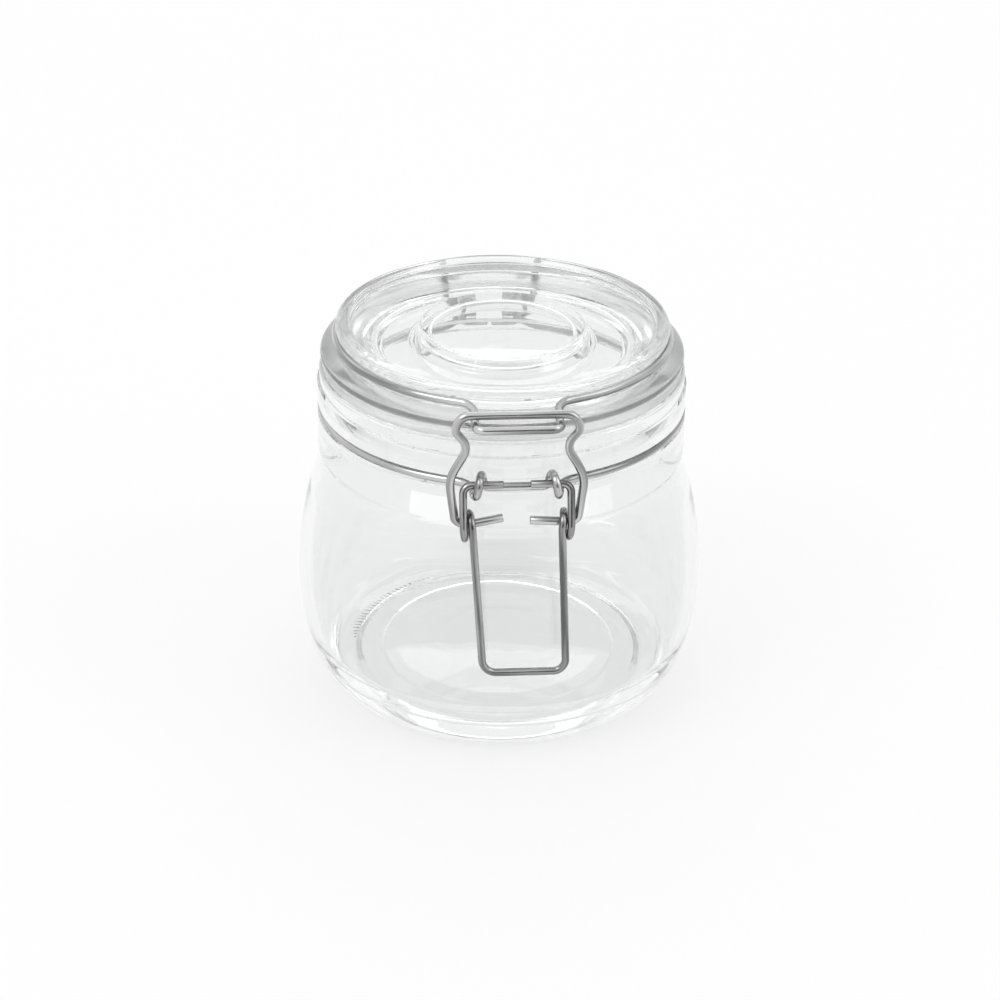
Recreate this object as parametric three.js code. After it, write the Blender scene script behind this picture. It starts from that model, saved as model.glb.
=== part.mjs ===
// Bail clamp jar: a squat glass storage jar with a hinged glass lid, a silicone
// gasket and an over-centre wire clamp. Millimetres, +Z up. The jar stands on z = 0 on
// its own axis, with the clamp at the front (-Y) and the lid's hinge at the back (+Y).
import * as THREE from 'three';

// ---- driving dimensions -------------------------------------------------------------

const jar = {
  baseR: 43.45,          // outer edge of the ring that the jar stands on
  bearingR: 40.5,        // inner edge of that ring
  puntRise: 3.4,         // how far the underside domes up inside the ring
  bellyR: 55,
  bellyZ: 31,
  heelPower: 0.54,       // 0.5 would be a plain quarter ellipse below the belly
  shoulderFall: 0.0055,  // how fast the wall draws in above the belly
  shoulderZ: 65,
  beadR: 49.2,           // lower bead of the neck
  beadTop: 78.2,
  grooveR: 46.6,         // the clamp's ring sits in this groove
  collarBottom: 81.4,
  collarR: 49.1,
  collarTop: 87.5,
  finishR: 48.6,         // top band, which carries the gasket
  top: 91.3,
  mouthR: 40.5,
  wall: 3.2,
  floorZ: 8,
};

const gasket = { innerR: 38.9, outerR: 47.8, bottom: 91.6, top: 94.2, edge: 0.6 };

const lid = {
  underside: 94.5,
  flangeR: 48.2,
  flangeTop: 97.8,
  grooveR: 42.6,         // the lid's wire sits in this groove
  grooveTop: 101.2,
  rimR: 44.1,
  top: 104,
  dishEdgeR: 40.6,
  dishFloorR: 33.5,
  dishFloorZ: 98,
  discR: 21.8,           // a flat round disc stands up in the middle of the dish
  discTop: 102.3,
  discFootR: 24.2,
  discCeiling: 98,       // the underside follows the disc
  plugR: 37.8,
  plugBottom: 92.2,
  plugInnerR: 34.6,
  ceilingZ: 93.6,
};

const wireR = 1.1;       // neck ring, lid ring and bail
const leverWireR = 1;

const neck = { ringR: 48.05, z: 79.8 };
const eye = { x: 9.6, z: 81.6, loopR: 2.7, pitch: 2.5, frontY: 52.25, rearY: 52.5, pastBottom: 15 };

const lidWire = {
  ringR: 44.05,
  z: 100,
  frontLeaveX: 16,       // where the wire leaves the ring towards the catch
  catchX: 10.6,
  catchKneeY: 50,
  catchY: 54.7,
  catchZ: 98.1,
  rearLeaveX: 18.5,
  legX: 13.6,
  legTopY: 48.9,         // the hinge legs slope down and back from here
  legTopZ: 98.7,
  pinTipX: 4,
  hingeZ: 81.8,
};

const lever = {
  pinTipX: 3.4,
  pivotY: 52.3,
  pivotZ: 81.8,
  armX: 13.6,
  coilY: 52.6,
  coilZ: 70.5,
  coilR: 3.25,
  legX: 11.3,
  footX: 10.7,
  footY: 56.9,
  footZ: 29.7,
  lean: 2.4,             // the handle is bent a little to one side at its foot
};

const bail = {
  pinTipX: 3.4,
  pivotY: 52.35,
  pivotZ: 71.2,
  barY: 51.2,
  barZ: 100.6,
  pinBendX: 10,          // inside this the pins are bent up a little towards their tips
  leftTipLift: 1.3,
  rightTipLift: 0.4,
};

// ---- materials ----------------------------------------------------------------------

function glassMaterial() {
  const look = { color: 0xe4e9e9, roughness: 0.05, metalness: 0, transparent: true, opacity: 0.35 };
  return new THREE.MeshStandardMaterial(look);
}

function steelMaterial() {
  return new THREE.MeshStandardMaterial({ color: 0xb9bcc0, roughness: 0.22, metalness: 1 });
}

function siliconeMaterial() {
  return new THREE.MeshStandardMaterial({ color: 0xd6d8d8, roughness: 0.45, metalness: 0 });
}

// ---- shape helpers ------------------------------------------------------------------

// Joins the corners with straight lines, each corner rounded to its radius.
// A corner is [x, y, z, radius], and the radius may be left out.
function roundedPath(corners, stepsPerCorner = 4) {
  const at = corners.map(([x, y, z]) => new THREE.Vector3(x, y, z));
  const path = [at[0]];
  for (let i = 1; i < at.length - 1; i += 1) {
    const radius = corners[i][3] ?? 0;
    const back = at[i - 1].clone().sub(at[i]).normalize();
    const on = at[i + 1].clone().sub(at[i]).normalize();
    const half = back.angleTo(on) / 2;
    if (radius === 0 || Math.PI / 2 - half < 0.01) {
      path.push(at[i]);
      continue;
    }
    const reach = radius / Math.tan(half);
    const centre = back.clone().add(on).normalize().multiplyScalar(radius / Math.sin(half)).add(at[i]);
    const first = back.multiplyScalar(reach).add(at[i]).sub(centre);
    const last = on.multiplyScalar(reach).add(at[i]).sub(centre);
    const turn = first.angleTo(last);
    for (let k = 0; k <= stepsPerCorner; k += 1) {
      const part = (k / stepsPerCorner) * turn;
      const a = Math.sin(turn - part) / Math.sin(turn);
      const b = Math.sin(part) / Math.sin(turn);
      path.push(first.clone().multiplyScalar(a).addScaledVector(last, b).add(centre));
    }
  }
  path.push(at[at.length - 1]);
  return path;
}

// An arc of a level ring. Angles are in degrees from the front (-Y) towards +X.
function ringArc(radius, z, from, to, steps) {
  const points = [];
  for (let k = 0; k <= steps; k += 1) {
    const angle = THREE.MathUtils.degToRad(from + ((to - from) * k) / steps);
    points.push(new THREE.Vector3(radius * Math.sin(angle), -radius * Math.cos(angle), z));
  }
  return points;
}

// Turns of wire about an axis along X, moving sideways as they go. Angles are in
// degrees from the front (-Y) up towards +Z.
function coil(y, z, radius, from, to, fromX, toX, steps) {
  const points = [];
  for (let k = 0; k <= steps; k += 1) {
    const part = k / steps;
    const angle = THREE.MathUtils.degToRad(from + (to - from) * part);
    const x = fromX + (toX - fromX) * part;
    points.push(new THREE.Vector3(x, y - radius * Math.cos(angle), z + radius * Math.sin(angle)));
  }
  return points;
}

// The path followed by its mirror image in X, walked back the other way.
function withMirrorImage(half) {
  const mirrored = half.map((p) => new THREE.Vector3(-p.x, p.y, p.z)).reverse();
  return half.concat(mirrored);
}

// A curve through a list of points, whose sections stand square to the bend.
class WirePath extends THREE.Curve {
  constructor(points) {
    super();
    this.points = points.filter((p, i) => i === 0 || p.distanceTo(points[i - 1]) > 0.02);
  }

  indexAt(u) {
    return Math.round(u * (this.points.length - 1));
  }

  getPointAt(u) {
    return this.points[this.indexAt(u)].clone();
  }

  getTangentAt(u, target = new THREE.Vector3()) {
    const i = this.indexAt(u);
    const last = this.points.length - 1;
    const here = this.points[i];
    target.set(0, 0, 0);
    if (i > 0) target.add(here.clone().sub(this.points[i - 1]).normalize());
    if (i < last) target.add(this.points[i + 1].clone().sub(here).normalize());
    return target.normalize();
  }
}

function wireMesh(name, points, radius) {
  const sides = 8;
  const section = [];
  for (let k = 0; k < sides; k += 1) {
    const angle = ((k + 0.5) / sides) * 2 * Math.PI;
    section.push(new THREE.Vector2(radius * Math.cos(angle), radius * Math.sin(angle)));
  }
  const path = new WirePath(points);
  const options = { steps: path.points.length - 1, bevelEnabled: false, extrudePath: path };
  const geometry = new THREE.ExtrudeGeometry(new THREE.Shape(section), options);
  return named(name, geometry, steelMaterial());
}

// Turns an outline of [radius, height] points about the Z axis. The outline runs up the
// outside and down the inside.
function turnedMesh(name, outline, segments, material) {
  const points = outline.map(([r, z]) => new THREE.Vector2(r, z));
  const geometry = new THREE.LatheGeometry(points, segments);
  geometry.rotateX(Math.PI / 2);
  return named(name, geometry, material);
}

function named(name, geometry, material) {
  const mesh = new THREE.Mesh(geometry, material);
  mesh.name = name;
  return mesh;
}

// A rounded outline of [radius, height, corner radius] points, for turnedMesh.
function roundedOutline(corners, stepsPerCorner = 3) {
  const path = roundedPath(corners.map(([r, z, round]) => [r, 0, z, round]), stepsPerCorner);
  return path.map((p) => [p.x, p.z]);
}

// ---- glass --------------------------------------------------------------------------

// The outside radius of the body: a soft quarter ellipse below the belly and a parabola
// above it.
function bodyRadius(z) {
  if (z > jar.bellyZ) return jar.bellyR - jar.shoulderFall * (z - jar.bellyZ) ** 2;
  const down = (jar.bellyZ - z) / jar.bellyZ;
  return jar.baseR + (jar.bellyR - jar.baseR) * (1 - down ** 2) ** jar.heelPower;
}

function bodyCurve(levels, inset) {
  return levels.map((z) => [bodyRadius(z) - inset, z]);
}

function glassJar() {
  const outside = bodyCurve([0, 1, 3.5, 8, 14, 22, 31, 41, 51, 59, jar.shoulderZ], 0);
  const neckOutside = roundedOutline([
    outside.pop(),
    [48.5, 67, 1],
    [jar.beadR, 68.6, 1],
    [jar.beadR, jar.beadTop, 0.6],
    [jar.grooveR, jar.beadTop + 0.4],
    [jar.grooveR, jar.collarBottom - 0.4],
    [jar.collarR, jar.collarBottom, 0.6],
    [jar.collarR, jar.collarTop, 0.3],
    [jar.finishR, jar.collarTop + 0.2],
    [jar.finishR, jar.top, 0.8],
    [jar.mouthR, jar.top, 0.8],
    [jar.mouthR, 74, 8],
    [bodyRadius(57) - jar.wall, 57],
  ], 2);
  const inside = bodyCurve([48, 40, 31, 22, 15], jar.wall);
  const floor = roundedOutline([
    inside.pop(),
    [bodyRadius(8) - jar.wall - 1, jar.floorZ, 5],
    [30, jar.floorZ - 0.4],
    [0, jar.floorZ],
  ]);
  const underside = [
    [0, jar.puntRise],
    [16, jar.puntRise - 0.3],
    [32, 2],
    [38.5, 1.2],
    [jar.bearingR, 0],
  ];
  const outline = [...underside, ...outside, ...neckOutside, ...inside, ...floor];
  return turnedMesh('glass_jar', outline, 44, glassMaterial());
}

function glassLid() {
  const outline = roundedOutline([
    [0, lid.discCeiling],
    [lid.discR - 2.6, lid.discCeiling, 1.5],
    [lid.discFootR - 2.6, lid.ceilingZ, 1.5],
    [lid.plugInnerR - 2.5, lid.ceilingZ, 1.5],
    [lid.plugInnerR, lid.plugBottom, 0.8],
    [lid.plugR, lid.plugBottom, 0.8],
    [lid.plugR + 0.3, lid.underside, 0.4],
    [lid.flangeR, lid.underside, 0.6],
    [lid.flangeR, 96.3, 1.2],
    [lid.rimR + 0.6, lid.flangeTop, 1.5],
    [lid.grooveR, 98.4, 0.4],
    [lid.grooveR, lid.grooveTop, 0.3],
    [lid.rimR, lid.grooveTop + 0.3, 0.5],
    [lid.rimR, lid.top, 1.3],
    [lid.dishEdgeR, lid.top, 1],
    [lid.dishEdgeR - 0.6, 102.6, 1],
    [lid.dishFloorR, lid.dishFloorZ, 2],
    [lid.discFootR, lid.dishFloorZ, 1.5],
    [lid.discR, lid.discTop, 1.2],
    [0, lid.discTop],
  ], 2);
  return turnedMesh('glass_lid', outline, 44, glassMaterial());
}

function lidGasket() {
  const { innerR, outerR, bottom, top, edge } = gasket;
  const middle = (innerR + outerR) / 2;
  const outline = roundedOutline([
    [middle, bottom],
    [outerR, bottom, edge],
    [outerR, top, edge],
    [innerR, top, edge],
    [innerR, bottom, edge],
    [middle, bottom],
  ], 2);
  return turnedMesh('lid_gasket', outline, 44, siliconeMaterial());
}

// ---- clamp wires --------------------------------------------------------------------

// One hinge eye on the +X side, from the bar between the two eyes to the end of the
// neck ring. forward is 1 at the front and -1 at the back.
function neckEye(forward, eyeY) {
  const barX = eye.x - eye.pitch / 2;
  const ringX = eye.x + eye.pitch / 2;
  const bar = roundedPath([
    [0.6, -(eyeY - eye.loopR), neck.z],
    [barX, -(eyeY - eye.loopR), neck.z, 1.7],
    [barX, -(eyeY - eye.loopR), eye.z],
  ], 3);
  const loop = coil(-eyeY, eye.z, eye.loopR, 180, -90 - eye.pastBottom, barX, ringX, 12);
  const start = loop[loop.length - 1];
  const slope = THREE.MathUtils.degToRad(eye.pastBottom);
  const inwards = new THREE.Vector3(0, Math.cos(slope), Math.sin(slope));
  const leaveAngle = Math.asin(16 / neck.ringR);
  const ringEnd = new THREE.Vector3(16, -neck.ringR * Math.cos(leaveAngle), neck.z);
  const along = new THREE.Vector3(Math.cos(leaveAngle), Math.sin(leaveAngle), 0);
  const bend = new THREE.CubicBezierCurve3(
    start,
    start.clone().addScaledVector(inwards, 3.4),
    ringEnd.clone().addScaledVector(along, -3),
    ringEnd,
  );
  const points = [...bar, ...loop, ...bend.getPoints(6)];
  return points.map((p) => new THREE.Vector3(p.x, forward * p.y, p.z));
}

function neckWire() {
  const leave = THREE.MathUtils.radToDeg(Math.asin(16 / neck.ringR));
  const back = neckEye(-1, eye.rearY);
  const side = ringArc(neck.ringR, neck.z, 180 - leave, leave, 22);
  const front = neckEye(1, eye.frontY).reverse();
  return wireMesh('neck_wire', withMirrorImage([...back, ...side, ...front]), wireR);
}

function lidRingWire() {
  const w = lidWire;
  const frontLeave = Math.asin(w.frontLeaveX / w.ringR);
  const rearLeave = Math.asin(w.rearLeaveX / w.ringR);
  const frontEnd = [w.frontLeaveX, -w.ringR * Math.cos(frontLeave), w.z];
  const rearEnd = [w.rearLeaveX, w.ringR * Math.cos(rearLeave), w.z];
  const frontKnee = frontEnd[1] - Math.tan(frontLeave) * (w.frontLeaveX - w.catchX);
  const rearKnee = rearEnd[1] + Math.tan(rearLeave) * (w.rearLeaveX - w.legX);
  const leg = roundedPath([
    [w.pinTipX, eye.rearY, w.hingeZ],
    [w.legX, eye.rearY, w.hingeZ, 2.2],
    [w.legX, w.legTopY, w.legTopZ, 2.6],
    [w.legX, rearKnee, w.z, 1.4],
    rearEnd,
  ]);
  const turn = THREE.MathUtils.radToDeg(rearLeave);
  const side = ringArc(w.ringR, w.z, 180 - turn, THREE.MathUtils.radToDeg(frontLeave), 22);
  const hook = roundedPath([
    frontEnd,
    [w.catchX, frontKnee, w.z, 5],
    [w.catchX, -w.catchKneeY, w.catchZ, 6],
    [w.catchX, -w.catchY, w.catchZ, 2.4],
    [0, -w.catchY, w.catchZ],
  ]);
  return wireMesh('lid_wire', withMirrorImage([...leg, ...side, ...hook]), wireR);
}

function clampLever() {
  const v = lever;
  const drop = v.pivotZ - v.coilZ;
  const tilt = Math.asin(v.coilR / drop);
  const tangentY = -(v.coilY + v.coilR * Math.cos(tilt));
  const tangentZ = v.coilZ + v.coilR * Math.sin(tilt);
  const arm = roundedPath([
    [v.pinTipX, -v.pivotY, v.pivotZ],
    [v.armX, -v.pivotY, v.pivotZ, 2.2],
    [v.armX, tangentY, tangentZ],
  ]);
  const from = THREE.MathUtils.radToDeg(tilt);
  const turns = coil(-v.coilY, v.coilZ, v.coilR, from, 1.5 - 360, v.armX, v.legX, 22);
  const leg = roundedPath([
    [v.legX, -(v.coilY + v.coilR), v.coilZ],
    [v.footX, -v.footY, v.footZ, 3.5],
    [0, -v.footY, v.footZ],
  ], 5).slice(1);
  const points = withMirrorImage([...arm, ...turns, ...leg]);
  const bottomOfCoil = v.coilZ - v.coilR;
  points.forEach((p) => {
    const below = Math.max(0, bottomOfCoil - p.z) / (bottomOfCoil - v.footZ);
    p.x += v.lean * below;
  });
  return wireMesh('clamp_lever', points, leverWireR);
}

// The bail lies in one plane that leans slightly back, so its outline is given as
// [half width, height] and laid into that plane.
function bailWire() {
  const b = bail;
  const lean = (b.pivotY - b.barY) / (b.barZ - b.pivotZ);
  const yAt = (z) => -(b.pivotY - lean * (z - b.pivotZ));
  const outline = [
    [b.pinTipX, b.pivotZ],
    [b.pinBendX, b.pivotZ],
    [15.5, b.pivotZ, 2],
    [17.1, 83.4, 9],
    [12.1, 92.2, 4],
    [15.5, 96.2, 1.8],
    [15, b.barZ, 3.6],
    [0, b.barZ],
  ];
  const half = roundedPath(outline.map(([x, z, round]) => [x, yAt(z), z, round]));
  const points = withMirrorImage(half);
  points.forEach((p) => {
    const towardsTip = Math.max(0, b.pinBendX - Math.abs(p.x)) / (b.pinBendX - b.pinTipX);
    if (p.z > b.pivotZ + 1) return;
    p.z += towardsTip * (p.x < 0 ? b.leftTipLift : b.rightTipLift);
  });
  return wireMesh('bail_wire', points, wireR);
}

// ---- assembly -----------------------------------------------------------------------

const group = new THREE.Group();
group.add(glassJar());
group.add(neckWire());
group.add(glassLid());
group.add(lidGasket());
group.add(lidRingWire());
group.add(clampLever());
group.add(bailWire());

export default group;
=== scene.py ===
import math

import bpy
from mathutils import Matrix, Vector


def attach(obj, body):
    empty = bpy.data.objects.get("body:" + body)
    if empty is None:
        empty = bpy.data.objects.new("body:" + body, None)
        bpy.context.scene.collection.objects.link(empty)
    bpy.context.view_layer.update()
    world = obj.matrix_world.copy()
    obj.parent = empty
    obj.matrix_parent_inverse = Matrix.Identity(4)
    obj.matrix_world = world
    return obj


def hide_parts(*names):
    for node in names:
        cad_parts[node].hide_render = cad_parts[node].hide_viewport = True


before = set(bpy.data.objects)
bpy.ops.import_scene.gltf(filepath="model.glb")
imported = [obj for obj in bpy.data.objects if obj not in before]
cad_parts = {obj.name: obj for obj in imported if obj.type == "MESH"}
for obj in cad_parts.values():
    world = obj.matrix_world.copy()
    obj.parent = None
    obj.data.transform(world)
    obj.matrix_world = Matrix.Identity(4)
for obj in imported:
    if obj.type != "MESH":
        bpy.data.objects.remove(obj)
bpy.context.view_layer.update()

MM = 0.001

# ---- sizes in millimetres, as in the CAD model ----------------------------------------

JAR = dict(
    base_r=43.45, bearing_r=40.5, punt_rise=3.4, belly_r=55, belly_z=31, heel_power=0.54,
    shoulder_fall=0.0055, shoulder_z=65, bead_r=49.2, bead_top=78.2, groove_r=46.6,
    collar_bottom=81.4, collar_r=49.1, collar_top=87.5, finish_r=48.6, top=91.3,
    mouth_r=40.5, wall=3.2, floor_z=8,
)
# the ring reaches 0.02 mm into both glasses, so that light passes as where they touch
GASKET = dict(inner_r=38.9, outer_r=47.8, bottom=91.28, top=94.52, edge=0.7)
LID = dict(
    underside=94.5, flange_r=48.2, flange_top=97.8, groove_r=42.6, groove_top=101.2,
    rim_r=44.1, top=104, dish_edge_r=40.6, dish_floor_r=33.5, dish_floor_z=98,
    disc_r=21.8, disc_top=102.3, disc_foot_r=24.2, disc_ceiling=98,
    plug_r=37.8, plug_bottom=92.2, plug_inner_r=34.6, ceiling_z=93.6,
)
WIRE_R = 1.1
LEVER_WIRE_R = 1.0
NECK = dict(ring_r=48.05, z=79.8, leave_x=16)
EYE = dict(x=9.6, z=81.6, loop_r=2.7, pitch=2.5, front_y=52.25, rear_y=52.5, past_bottom=15)
LID_WIRE = dict(
    ring_r=44.05, z=100, front_leave_x=16, catch_x=10.6, catch_knee_y=50, catch_y=54.7,
    catch_z=98.1, rear_leave_x=18.5, leg_x=13.6, leg_top_y=48.9, leg_top_z=98.7,
    pin_tip_x=4, hinge_z=81.8,
)
LEVER = dict(
    pin_tip_x=3.4, pivot_y=52.3, pivot_z=81.8, arm_x=13.6, coil_y=52.6, coil_z=70.5,
    coil_r=3.25, leg_x=11.3, foot_x=10.7, foot_y=56.9, foot_z=29.7, lean=2.4,
)
BAIL = dict(
    pin_tip_x=3.4, pivot_y=52.35, pivot_z=71.2, bar_y=51.2, bar_z=100.6,
    pin_bend_x=10, left_tip_lift=1.3, right_tip_lift=0.4,
)

TURNS = 320             # segments round a turned glass piece
WIRE_SIDES = 20
KNURLS = 160            # fine radial notches under the jar's standing ring
KNURL_DEPTH = 0.45
KNURL_FROM_R, KNURL_TO_R = 40.6, 43.3
CUT_BEVEL = 0.18        # at the cut ends of the wires

# ---- looks -----------------------------------------------------------------------------

GLASS_TINT = (0.925, 0.93, 0.929, 1)
GLASS_WAVE_HEIGHT = 0.00002
SILICONE_TINT = (0.99, 0.993, 0.993, 1)
FLOOR_GLOW = 0.76
STUDIO_LIGHT = 0.95
STUDIO_DARK = 0.1
LIGHT_AIM = (0, 0, 0.05)
LIGHT_BOUNCES = 32
DARK_SIDE = (0.1, -0.95, 0.12)   # the unlit front of the studio

# ---- camera ----------------------------------------------------------------------------

CAMERA_AT = (-52.8, -647.9, 393.5)
CAMERA_PITCH = 27.87
CAMERA_HEADING = -4.66
CAMERA_ROLL = 0.9
LENS = 96.98


def place_camera():
    data = bpy.data.cameras.new("camera")
    data.lens = LENS
    data.sensor_width = 36
    data.clip_start = 0.01
    data.clip_end = 50
    camera = bpy.data.objects.new("camera", data)
    bpy.context.scene.collection.objects.link(camera)
    camera.rotation_mode = "ZXY"
    heading = math.radians(CAMERA_HEADING)
    turn = (
        rotation(heading, "Z") @ rotation(math.radians(90 - CAMERA_PITCH), "X")
        @ rotation(math.radians(CAMERA_ROLL), "Z")
    )
    turn.translation = Vector(CAMERA_AT) * MM
    camera.matrix_world = turn
    bpy.context.scene.camera = camera


def rotation(angle, axis):
    return Matrix.Rotation(angle, 4, axis)


# ---- node helpers ----------------------------------------------------------------------

def new_material(name):
    material = bpy.data.materials.new(name)
    material.use_nodes = True
    nodes = material.node_tree.nodes
    return material, nodes, material.node_tree.links, nodes["Principled BSDF"]


def mapped(nodes, links, scale, source="Object"):
    coords = nodes.new("ShaderNodeTexCoord")
    mapping = nodes.new("ShaderNodeMapping")
    mapping.inputs["Scale"].default_value = scale
    links.new(coords.outputs[source], mapping.inputs["Vector"])
    return mapping.outputs["Vector"]


def noise(nodes, links, vector, scale, detail=3, roughness=0.5, distortion=0):
    texture = nodes.new("ShaderNodeTexNoise")
    texture.inputs["Scale"].default_value = scale
    texture.inputs["Detail"].default_value = detail
    texture.inputs["Roughness"].default_value = roughness
    texture.inputs["Distortion"].default_value = distortion
    links.new(vector, texture.inputs["Vector"])
    return texture.outputs["Fac"]


def remap(nodes, links, value, from_low, from_high, to_low, to_high):
    node = nodes.new("ShaderNodeMapRange")
    node.inputs["From Min"].default_value = from_low
    node.inputs["From Max"].default_value = from_high
    node.inputs["To Min"].default_value = to_low
    node.inputs["To Max"].default_value = to_high
    links.new(value, node.inputs["Value"])
    return node.outputs["Result"]


def bump(nodes, links, height, distance, strength=1.0, normal=None):
    node = nodes.new("ShaderNodeBump")
    node.inputs["Strength"].default_value = strength
    node.inputs["Distance"].default_value = distance
    links.new(height, node.inputs["Height"])
    if normal is not None:
        links.new(normal, node.inputs["Normal"])
    return node.outputs["Normal"]


# ---- materials -------------------------------------------------------------------------

def glass_material():
    """Clear pressed glass: soft mould waves, a fine orange peel and faint smears."""
    material, nodes, links, shader = new_material("pressed_glass")
    shader.inputs["Base Color"].default_value = GLASS_TINT
    shader.inputs["Transmission Weight"].default_value = 1
    shader.inputs["IOR"].default_value = 1.52
    waves = noise(nodes, links, mapped(nodes, links, (1, 1, 2.5)), 55, 2, 0.4, 0.4)
    peel = noise(nodes, links, mapped(nodes, links, (1, 1, 1)), 900, 2, 0.5)
    smears = noise(nodes, links, mapped(nodes, links, (1, 1, 0.4)), 30, 5, 0.6, 1.2)
    links.new(remap(nodes, links, smears, 0.45, 0.75, 0.0, 0.045), shader.inputs["Roughness"])
    wavy = bump(nodes, links, waves, GLASS_WAVE_HEIGHT)
    links.new(bump(nodes, links, peel, 0.000001, 1, wavy), shader.inputs["Normal"])
    return material


def steel_material(name, dark, bright):
    """Drawn stainless wire: long streaks along the wire, fine draw lines, slight tarnish."""
    material, nodes, links, shader = new_material(name)
    shader.inputs["Metallic"].default_value = 1
    streaks = noise(nodes, links, mapped(nodes, links, (4, 2.5, 1), "UV"), 1, 2, 0.5)
    lines = noise(nodes, links, mapped(nodes, links, (16, 12, 1), "UV"), 1, 4, 0.7)
    blotches = noise(nodes, links, mapped(nodes, links, (1, 1, 1)), 320, 3, 0.6)
    ramp = nodes.new("ShaderNodeValToRGB")
    ramp.color_ramp.elements[0].color = (dark, dark, dark * 1.01, 1)
    ramp.color_ramp.elements[0].position = 0.38
    ramp.color_ramp.elements[1].color = (bright, bright, bright, 1)
    ramp.color_ramp.elements[1].position = 0.6
    links.new(streaks, ramp.inputs["Fac"])
    links.new(ramp.outputs["Color"], shader.inputs["Base Color"])
    links.new(remap(nodes, links, blotches, 0.3, 0.7, 0.12, 0.28), shader.inputs["Roughness"])
    links.new(bump(nodes, links, lines, 0.00003, 0.6), shader.inputs["Normal"])
    return material


def silicone_material():
    """Clear silicone: see-through but cloudy, with a fine satin surface."""
    material, nodes, links, shader = new_material("silicone")
    shader.inputs["Base Color"].default_value = SILICONE_TINT
    shader.inputs["Transmission Weight"].default_value = 0.92
    shader.inputs["IOR"].default_value = 1.41
    cloud = noise(nodes, links, mapped(nodes, links, (1, 1, 3)), 90, 3, 0.5)
    grain = noise(nodes, links, mapped(nodes, links, (1, 1, 1)), 2600, 2, 0.5)
    links.new(remap(nodes, links, cloud, 0.3, 0.7, 0.12, 0.26), shader.inputs["Roughness"])
    links.new(bump(nodes, links, grain, 0.00002, 0.6), shader.inputs["Normal"])
    return material


def floor_material():
    """A white light table: it glows evenly, so that the glass throws no dark shadow."""
    material, nodes, links, shader = new_material("floor")
    shader.inputs["Base Color"].default_value = (0.2, 0.2, 0.2, 1)
    shader.inputs["Roughness"].default_value = 0.8
    shader.inputs["Specular IOR Level"].default_value = 0
    shader.inputs["Emission Color"].default_value = (1, 1, 1, 1)
    shader.inputs["Emission Strength"].default_value = FLOOR_GLOW
    return material


# ---- shape helpers ---------------------------------------------------------------------

def rounded_path(corners, steps=8):
    """Straight lines from corner to corner, each [x, y, z, radius] corner rounded."""
    at = [Vector(corner[:3]) for corner in corners]
    path = [at[0]]
    for i in range(1, len(at) - 1):
        radius = corners[i][3] if len(corners[i]) > 3 else 0
        back = (at[i - 1] - at[i]).normalized()
        on = (at[i + 1] - at[i]).normalized()
        half = back.angle(on) / 2
        if radius == 0 or math.pi / 2 - half < 0.01:
            path.append(at[i])
            continue
        reach = radius / math.tan(half)
        centre = at[i] + (back + on).normalized() * (radius / math.sin(half))
        first = at[i] + back * reach - centre
        last = at[i] + on * reach - centre
        turn = first.angle(last)
        for k in range(steps + 1):
            part = turn * k / steps
            a = math.sin(turn - part) / math.sin(turn)
            b = math.sin(part) / math.sin(turn)
            path.append(centre + first * a + last * b)
    path.append(at[-1])
    return path


def rounded_outline(corners, steps=6):
    """A rounded outline of [radius, height, corner radius] points."""
    path = rounded_path([[c[0], 0, c[1], c[2] if len(c) > 2 else 0] for c in corners], steps)
    return [(p.x, p.z) for p in path]


def ring_arc(radius, z, start, stop, steps):
    """An arc of a level ring. Angles in degrees from the front (-Y) towards +X."""
    angles = [math.radians(start + (stop - start) * k / steps) for k in range(steps + 1)]
    return [Vector((radius * math.sin(a), -radius * math.cos(a), z)) for a in angles]


def coil(y, z, radius, start, stop, from_x, to_x, steps):
    """Turns of wire about an axis along X. Angles in degrees from the front up."""
    points = []
    for k in range(steps + 1):
        part = k / steps
        angle = math.radians(start + (stop - start) * part)
        x = from_x + (to_x - from_x) * part
        points.append(Vector((x, y - radius * math.cos(angle), z + radius * math.sin(angle))))
    return points


def bezier(a, b, c, d, steps):
    points = []
    for k in range(steps + 1):
        t = k / steps
        s = 1 - t
        points.append(a * s**3 + b * (3 * s * s * t) + c * (3 * s * t * t) + d * t**3)
    return points


def with_mirror_image(half):
    return half + [Vector((-p.x, p.y, p.z)) for p in reversed(half)]


def mesh_object(name, points, faces, material, corner_uvs=None):
    mesh = bpy.data.meshes.new(name)
    mesh.from_pydata([tuple(p) for p in points], [], faces)
    mesh.polygons.foreach_set("use_smooth", [True] * len(mesh.polygons))
    if corner_uvs is not None:
        layer = mesh.uv_layers.new(name="UVMap")
        for loop, uv in zip(layer.data, corner_uvs):
            loop.uv = uv
    mesh.materials.append(material)
    mesh.update()
    piece = bpy.data.objects.new(name, mesh)
    bpy.context.scene.collection.objects.link(piece)
    return piece


def turned(name, outline, material, move=None):
    """Turns an outline of (radius, height) points about Z. Ends on the axis close it.
    move(radius, height, angle) may shift a point's height."""
    points, faces, rows = [], [], []
    for r, z in outline:
        if r < 1e-6:
            rows.append([len(points)] * TURNS)
            points.append(Vector((0, 0, z)) * MM)
            continue
        rows.append(list(range(len(points), len(points) + TURNS)))
        for k in range(TURNS):
            angle = 2 * math.pi * k / TURNS
            height = z if move is None else move(r, z, angle)
            points.append(Vector((r * math.cos(angle), r * math.sin(angle), height)) * MM)
    pairs = list(zip(rows, rows[1:]))
    if outline[0][0] > 1e-6:
        pairs.append((rows[-1], rows[0]))
    for low, high in pairs:
        for k in range(TURNS):
            n = (k + 1) % TURNS
            corners = [low[k], low[n], high[n], high[k]]
            face = [c for i, c in enumerate(corners) if c != corners[i - 1]]
            faces.append(face)
    return mesh_object(name, points, faces, material)


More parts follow.
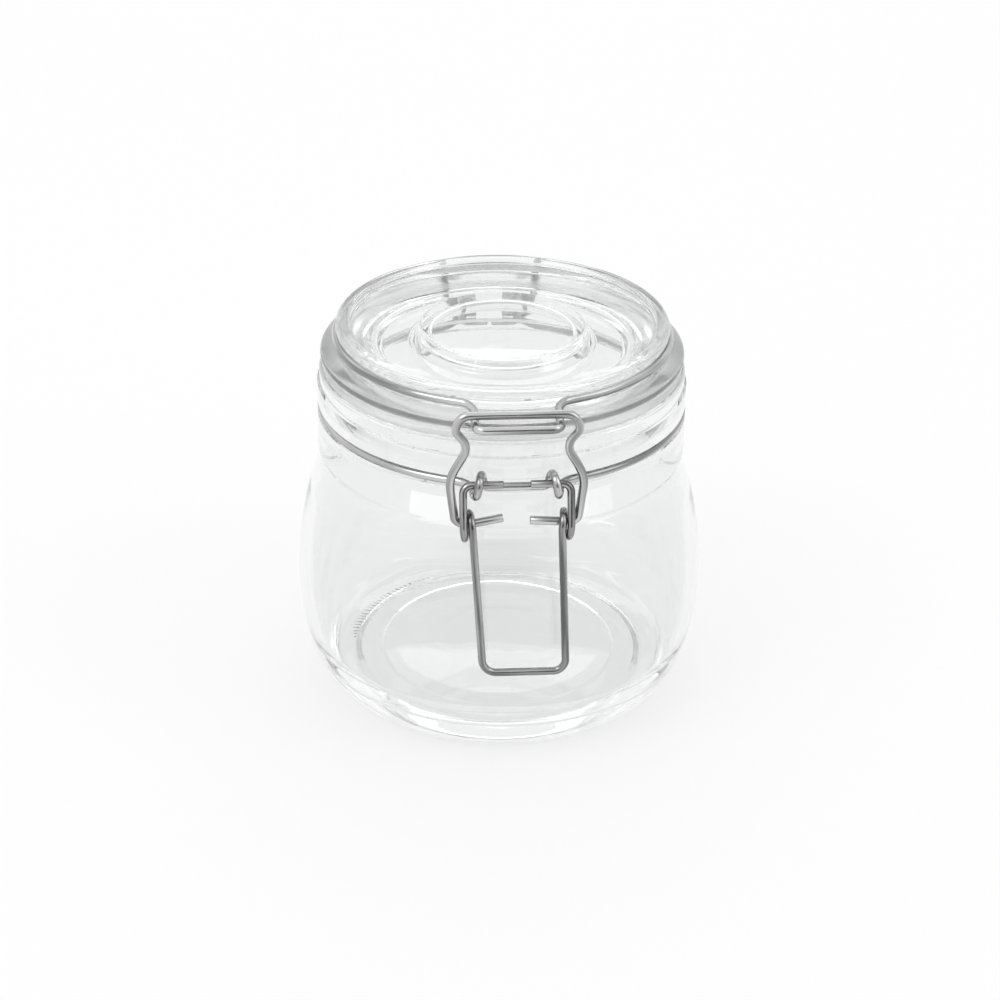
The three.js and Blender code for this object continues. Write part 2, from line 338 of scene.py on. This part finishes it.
def wire(name, path, radius, material):
    """A round wire along a path, with slightly rounded cut ends."""
    path = [p for i, p in enumerate(path) if i == 0 or (p - path[i - 1]).length > 0.02]
    steps = [(b - a).normalized() for a, b in zip(path, path[1:])]
    tangents = [steps[0]]
    tangents += [(a + b).normalized() for a, b in zip(steps, steps[1:])]
    tangents.append(steps[-1])
    side = tangents[0].orthogonal().normalized()
    sections = []
    run = 0
    for i, (point, tangent) in enumerate(zip(path, tangents)):
        side = (side - tangent * side.dot(tangent)).normalized()
        if i:
            run += (point - path[i - 1]).length
        sections.append((point, tangent, side.copy(), radius, run))
    bevel = CUT_BEVEL
    first, last = sections[0], sections[-1]
    sections.insert(0, (first[0], first[1], first[2], radius - bevel, 0))
    sections[1] = (first[0] + first[1] * bevel, first[1], first[2], radius, bevel)
    sections[-1] = (last[0] - last[1] * bevel, last[1], last[2], radius, last[4])
    sections.append((last[0], last[1], last[2], radius - bevel, last[4] + bevel))
    points, faces, uvs = [], [], []
    for point, tangent, across, size, _ in sections:
        up = tangent.cross(across)
        for k in range(WIRE_SIDES):
            angle = 2 * math.pi * k / WIRE_SIDES
            spot = point + across * (size * math.cos(angle)) + up * (size * math.sin(angle))
            points.append(spot * MM)
    for i in range(len(sections) - 1):
        for k in range(WIRE_SIDES):
            n = (k + 1) % WIRE_SIDES
            a, b = i * WIRE_SIDES, (i + 1) * WIRE_SIDES
            faces.append([a + k, a + n, b + n, b + k])
            low, high = sections[i][4] / 100, sections[i + 1][4] / 100
            here, there = k / WIRE_SIDES, (k + 1) / WIRE_SIDES
            uvs += [(here, low), (there, low), (there, high), (here, high)]
    for start, flip in ((0, True), (len(points) - WIRE_SIDES, False)):
        cap = list(range(start, start + WIRE_SIDES))
        faces.append(cap[::-1] if flip else cap)
        uvs += [(0.5, 0)] * WIRE_SIDES
    return mesh_object(name, points, faces, material, uvs)


# ---- glass -----------------------------------------------------------------------------

def body_radius(z):
    j = JAR
    if z > j["belly_z"]:
        return j["belly_r"] - j["shoulder_fall"] * (z - j["belly_z"]) ** 2
    down = (j["belly_z"] - z) / j["belly_z"]
    return j["base_r"] + (j["belly_r"] - j["base_r"]) * (1 - down**2) ** j["heel_power"]


def levels(low, high, count):
    return [low + (high - low) * k / count for k in range(count + 1)]


def glass_jar(material):
    j = JAR
    heel = [j["belly_z"] * (1 - math.cos(a)) for a in levels(0, math.pi / 2, 16)]
    outside = [(body_radius(z), z) for z in heel + levels(j["belly_z"], j["shoulder_z"], 16)[1:]]
    neck = rounded_outline([
        outside.pop(),
        (48.5, 67, 1),
        (j["bead_r"], 68.6, 1),
        (j["bead_r"], j["bead_top"], 0.6),
        (j["groove_r"], j["bead_top"] + 0.4, 0.3),
        (j["groove_r"], j["collar_bottom"] - 0.4, 0.3),
        (j["collar_r"], j["collar_bottom"], 0.6),
        (j["collar_r"], j["collar_top"] - 0.3, 0.1),
        (j["finish_r"] - 0.35, j["collar_top"], 0.1),
        (j["finish_r"], j["collar_top"] + 0.4, 0.1),
        (j["finish_r"], j["top"], 0.8),
        (j["mouth_r"], j["top"], 0.8),
        (j["mouth_r"], 74, 8),
        (body_radius(57) - j["wall"], 57),
    ])
    inner_levels = levels(54, j["belly_z"], 8) + levels(28, 15, 6)
    inside = [(body_radius(z) - j["wall"], z) for z in inner_levels]
    floor = rounded_outline([
        inside.pop(),
        (body_radius(8) - j["wall"] - 1, j["floor_z"], 5),
        (30, j["floor_z"] - 0.4, 60),
        (0, j["floor_z"]),
    ])
    underside = rounded_outline([
        (0, j["punt_rise"]),
        (16, j["punt_rise"] - 0.3, 20),
        (32, 2, 0.5),
        (33, 1.6, 0.4),
        (38.5, 1.2, 0.8),
        (j["bearing_r"], 0, 0.6),
        (j["base_r"] - 0.01, 0),
    ])

    def knurl(r, z, angle):
        """Fine radial notches in the ring that the jar stands on."""
        if z > 0.3 or not KNURL_FROM_R < r < KNURL_TO_R:
            return z
        return z + KNURL_DEPTH * (0.5 + 0.5 * math.cos(KNURLS * angle))

    outline = underside[:-1] + outside + neck + inside + floor
    return turned("glass_jar_body", outline, material, knurl)


def glass_lid(material):
    d = LID
    outline = rounded_outline([
        (0, d["disc_ceiling"]),
        (d["disc_r"] - 2.6, d["disc_ceiling"], 1.5),
        (d["disc_foot_r"] - 2.6, d["ceiling_z"], 1.5),
        (d["plug_inner_r"] - 2.5, d["ceiling_z"], 1.5),
        (d["plug_inner_r"], d["plug_bottom"], 0.8),
        (d["plug_r"], d["plug_bottom"], 0.8),
        (d["plug_r"] + 0.3, d["underside"], 0.4),
        (d["flange_r"], d["underside"], 0.6),
        (d["flange_r"], 96.3, 1.2),
        (d["rim_r"] + 0.6, d["flange_top"], 1.5),
        (d["groove_r"], 98.4, 0.4),
        (d["groove_r"], d["groove_top"], 0.3),
        (d["rim_r"], d["groove_top"] + 0.3, 0.5),
        (d["rim_r"], d["top"], 1.3),
        (d["dish_edge_r"], d["top"], 1),
        (d["dish_edge_r"] - 0.6, 102.6, 1),
        (d["dish_floor_r"], d["dish_floor_z"], 2),
        (d["disc_foot_r"], d["dish_floor_z"], 1.5),
        (d["disc_r"], d["disc_top"], 1.2),
        (0, d["disc_top"]),
    ])
    return turned("glass_lid_dished", outline, material)


def gasket(material):
    g = GASKET
    middle = (g["inner_r"] + g["outer_r"]) / 2
    outline = rounded_outline([
        (middle, g["bottom"]),
        (g["outer_r"], g["bottom"], g["edge"]),
        (g["outer_r"], g["top"], g["edge"]),
        (g["inner_r"], g["top"], g["edge"]),
        (g["inner_r"], g["bottom"], g["edge"]),
        (middle, g["bottom"]),
    ])
    return turned("gasket_ring", outline[:-1], material)


# ---- clamp wires -----------------------------------------------------------------------

def neck_eye(forward, eye_y):
    """One hinge eye on the +X side, from the bar between the eyes to the neck ring."""
    e, n = EYE, NECK
    bar_x = e["x"] - e["pitch"] / 2
    ring_x = e["x"] + e["pitch"] / 2
    bar_y = -(eye_y - e["loop_r"])
    bar = rounded_path([
        [0.6, bar_y, n["z"]],
        [bar_x, bar_y, n["z"], 1.7],
        [bar_x, bar_y, e["z"]],
    ])
    loop = coil(-eye_y, e["z"], e["loop_r"], 180, -90 - e["past_bottom"], bar_x, ring_x, 40)
    slope = math.radians(e["past_bottom"])
    inwards = Vector((0, math.cos(slope), math.sin(slope)))
    leave = math.asin(n["leave_x"] / n["ring_r"])
    ring_end = Vector((n["leave_x"], -n["ring_r"] * math.cos(leave), n["z"]))
    along = Vector((math.cos(leave), math.sin(leave), 0))
    bend = bezier(loop[-1], loop[-1] + inwards * 3.4, ring_end - along * 3, ring_end, 14)
    return [Vector((p.x, forward * p.y, p.z)) for p in bar + loop + bend]


def neck_wire_path():
    leave = math.degrees(math.asin(NECK["leave_x"] / NECK["ring_r"]))
    back = neck_eye(-1, EYE["rear_y"])
    side = ring_arc(NECK["ring_r"], NECK["z"], 180 - leave, leave, 90)
    front = neck_eye(1, EYE["front_y"])[::-1]
    return with_mirror_image(back + side + front)


def lid_wire_path():
    w = LID_WIRE
    front_leave = math.asin(w["front_leave_x"] / w["ring_r"])
    rear_leave = math.asin(w["rear_leave_x"] / w["ring_r"])
    front_end = [w["front_leave_x"], -w["ring_r"] * math.cos(front_leave), w["z"]]
    rear_end = [w["rear_leave_x"], w["ring_r"] * math.cos(rear_leave), w["z"]]
    front_knee = front_end[1] - math.tan(front_leave) * (w["front_leave_x"] - w["catch_x"])
    rear_knee = rear_end[1] + math.tan(rear_leave) * (w["rear_leave_x"] - w["leg_x"])
    leg = rounded_path([
        [w["pin_tip_x"], EYE["rear_y"], w["hinge_z"]],
        [w["leg_x"], EYE["rear_y"], w["hinge_z"], 2.2],
        [w["leg_x"], w["leg_top_y"], w["leg_top_z"], 2.6],
        [w["leg_x"], rear_knee, w["z"], 1.4],
        rear_end,
    ])
    turn = math.degrees(rear_leave)
    side = ring_arc(w["ring_r"], w["z"], 180 - turn, math.degrees(front_leave), 90)
    hook = rounded_path([
        front_end,
        [w["catch_x"], front_knee, w["z"], 5],
        [w["catch_x"], -w["catch_knee_y"], w["catch_z"], 6],
        [w["catch_x"], -w["catch_y"], w["catch_z"], 2.4],
        [0, -w["catch_y"], w["catch_z"]],
    ])
    return with_mirror_image(leg + side + hook)


def lever_path():
    v = LEVER
    tilt = math.asin(v["coil_r"] / (v["pivot_z"] - v["coil_z"]))
    tangent_y = -(v["coil_y"] + v["coil_r"] * math.cos(tilt))
    tangent_z = v["coil_z"] + v["coil_r"] * math.sin(tilt)
    arm = rounded_path([
        [v["pin_tip_x"], -v["pivot_y"], v["pivot_z"]],
        [v["arm_x"], -v["pivot_y"], v["pivot_z"], 2.2],
        [v["arm_x"], tangent_y, tangent_z],
    ])
    turns = coil(
        -v["coil_y"], v["coil_z"], v["coil_r"], math.degrees(tilt), 1.5 - 360,
        v["arm_x"], v["leg_x"], 60,
    )
    leg = rounded_path([
        [v["leg_x"], -(v["coil_y"] + v["coil_r"]), v["coil_z"]],
        [v["foot_x"], -v["foot_y"], v["foot_z"], 3.5],
        [0, -v["foot_y"], v["foot_z"]],
    ], 12)[1:]
    points = with_mirror_image(arm + turns + leg)
    coil_bottom = v["coil_z"] - v["coil_r"]
    for p in points:
        p.x += v["lean"] * max(0, coil_bottom - p.z) / (coil_bottom - v["foot_z"])
    return points


def bail_path():
    """The bail lies in one plane that leans slightly back."""
    b = BAIL
    lean = (b["pivot_y"] - b["bar_y"]) / (b["bar_z"] - b["pivot_z"])
    outline = [
        [b["pin_tip_x"], b["pivot_z"], 0],
        [b["pin_bend_x"], b["pivot_z"], 0],
        [15.5, b["pivot_z"], 2],
        [17.1, 83.4, 9],
        [12.1, 92.2, 4],
        [15.5, 96.2, 1.8],
        [15, b["bar_z"], 3.6],
        [0, b["bar_z"], 0],
    ]
    half = rounded_path([
        [x, -(b["pivot_y"] - lean * (z - b["pivot_z"])), z, r] for x, z, r in outline
    ], 12)
    points = with_mirror_image(half)
    for p in points:
        if p.z <= b["pivot_z"] + 1:
            towards_tip = max(0, b["pin_bend_x"] - abs(p.x)) / (b["pin_bend_x"] - b["pin_tip_x"])
            p.z += towards_tip * b["left_tip_lift" if p.x < 0 else "right_tip_lift"]
    return points


# ---- stage and light -------------------------------------------------------------------

def build_stage():
    points = [Vector((x, y, -0.0002)) for x, y in ((-6, -6), (6, -6), (6, 6), (-6, 6))]
    floor = mesh_object("floor", points, [[0, 1, 2, 3]], floor_material())


def area_light(name, at, size, power):
    data = bpy.data.lights.new(name, "AREA")
    data.shape = "RECTANGLE"
    data.size, data.size_y = size
    data.energy = power
    lamp = bpy.data.objects.new(name, data)
    bpy.context.scene.collection.objects.link(lamp)
    lamp.location = at
    lamp.rotation_euler = (Vector(LIGHT_AIM) - Vector(at)).to_track_quat("-Z", "Y").to_euler()


def build_light():
    world = bpy.data.worlds.new("studio")
    bpy.context.scene.world = world
    world.use_nodes = True
    nodes, links = world.node_tree.nodes, world.node_tree.links
    coords = nodes.new("ShaderNodeTexCoord")
    towards_front = nodes.new("ShaderNodeVectorMath")
    towards_front.operation = "DOT_PRODUCT"
    towards_front.inputs[1].default_value = Vector(DARK_SIDE).normalized()
    links.new(coords.outputs["Generated"], towards_front.inputs[0])
    shade = remap(
        nodes, links, towards_front.outputs["Value"], 0.84, 0.95, STUDIO_LIGHT, STUDIO_DARK
    )
    nodes["Background"].inputs["Color"].default_value = (1, 1, 1, 1)
    links.new(shade, nodes["Background"].inputs["Strength"])
    area_light("key", (-0.9, -0.6, 1.3), (0.7, 0.7), 5)
    area_light("fill", (1.1, -0.5, 1.0), (0.6, 0.9), 3)
    area_light("back", (0.1, 1.2, 1.1), (1.2, 0.6), 3)


# ---- assembly --------------------------------------------------------------------------

def add(piece, body, node):
    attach(piece, body)
    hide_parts(node)


bpy.context.scene.view_settings.view_transform = "Standard"
# light turns many times inside thick glass, and too few turns leave its edges black
for limit in ("max_bounces", "transmission_bounces", "glossy_bounces"):
    setattr(bpy.context.scene.cycles, limit, LIGHT_BOUNCES)
place_camera()
build_stage()
build_light()

glass = glass_material()
steel = steel_material("steel_wire", 0.26, 0.6)
lever_steel = steel_material("lever_steel_wire", 0.13, 0.42)

add(glass_jar(glass), "jar", "glass_jar")
add(wire("neck_ring_wire", neck_wire_path(), WIRE_R, steel), "jar", "neck_wire")
add(glass_lid(glass), "lid", "glass_lid")
add(gasket(silicone_material()), "lid", "lid_gasket")
add(wire("lid_ring_wire", lid_wire_path(), WIRE_R, steel), "lid", "lid_wire")
add(wire("lever_wire", lever_path(), LEVER_WIRE_R, lever_steel), "lever", "clamp_lever")
add(wire("bail_loop_wire", bail_path(), WIRE_R, steel), "bail", "bail_wire")
